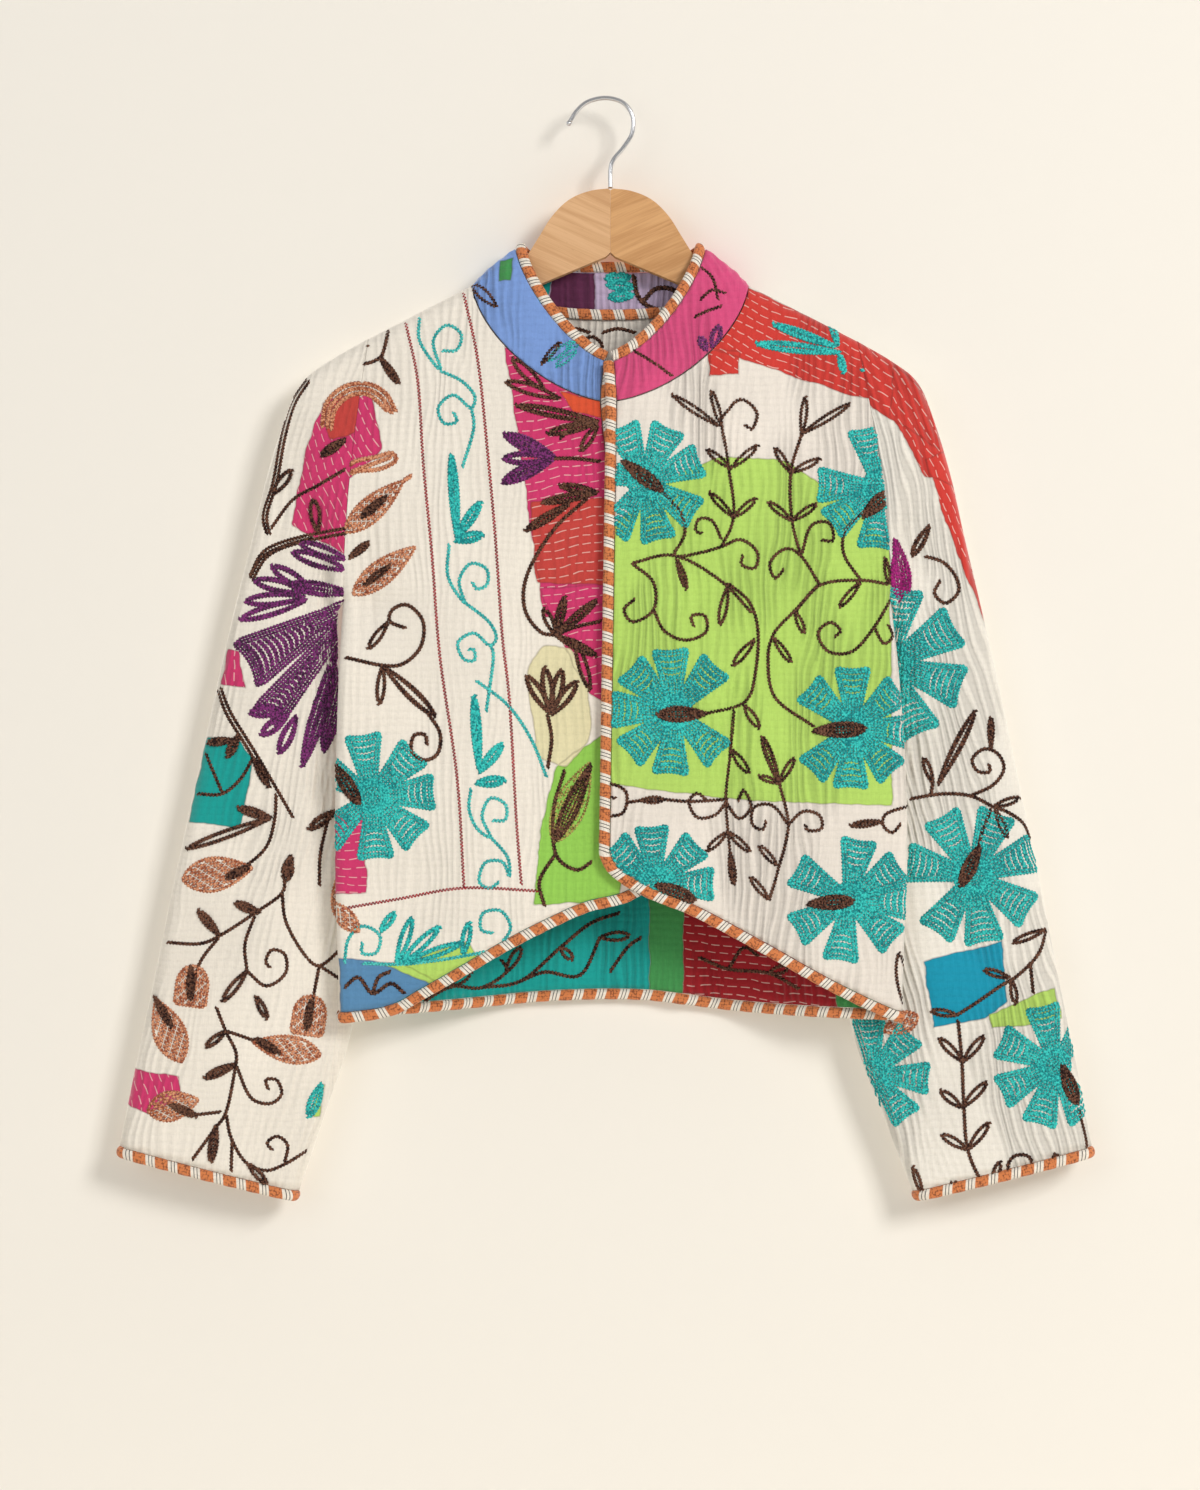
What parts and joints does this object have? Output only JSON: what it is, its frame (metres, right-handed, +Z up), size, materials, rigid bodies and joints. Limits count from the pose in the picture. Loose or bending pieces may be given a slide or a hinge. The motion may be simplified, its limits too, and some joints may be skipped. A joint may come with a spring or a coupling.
{
  "type": "kantha jacket on a wooden hanger",
  "caption": "Short quilted kantha jacket with lapped fronts, a stand collar and wrapped bindings, open at neck, hem and cuffs, hanging on a wooden hanger with a wire hook.",
  "frame": {"origin": "inner top of the hook's bend, where a peg carries the hanger", "axes": "+Z up along the hanging height, -Y out of the jacket's front, +X towards the wearer's left side"},
  "size_m": [0.8373, 0.0742, 0.9452],
  "materials": {
    "quilted_cotton": "matte quilted cotton with printed and embroidered motifs",
    "patched_cotton": "matte quilted cotton with large bright patches",
    "collar_cotton": "matte cotton with running stitches",
    "thread_binding": "matte wrapped thread in bands",
    "beech": "satin varnish",
    "hook_steel": "polished"
  },
  "bodies": {
    "root": {"back": "quilted_cotton", "right_front": "quilted_cotton", "left_sleeve": "quilted_cotton", "right_sleeve": "quilted_cotton", "left_front": "patched_cotton", "collar": "collar_cotton", "back_hem_binding": "thread_binding", "right_front_binding": "thread_binding", "left_front_binding": "thread_binding", "right_cuff_binding": "thread_binding", "left_cuff_binding": "thread_binding", "collar_binding": "thread_binding", "neck_seam_tape": "thread_binding", "right_hanger_arm": "beech", "left_hanger_arm": "beech", "hook": "hook_steel"}
  },
  "joints": []
}
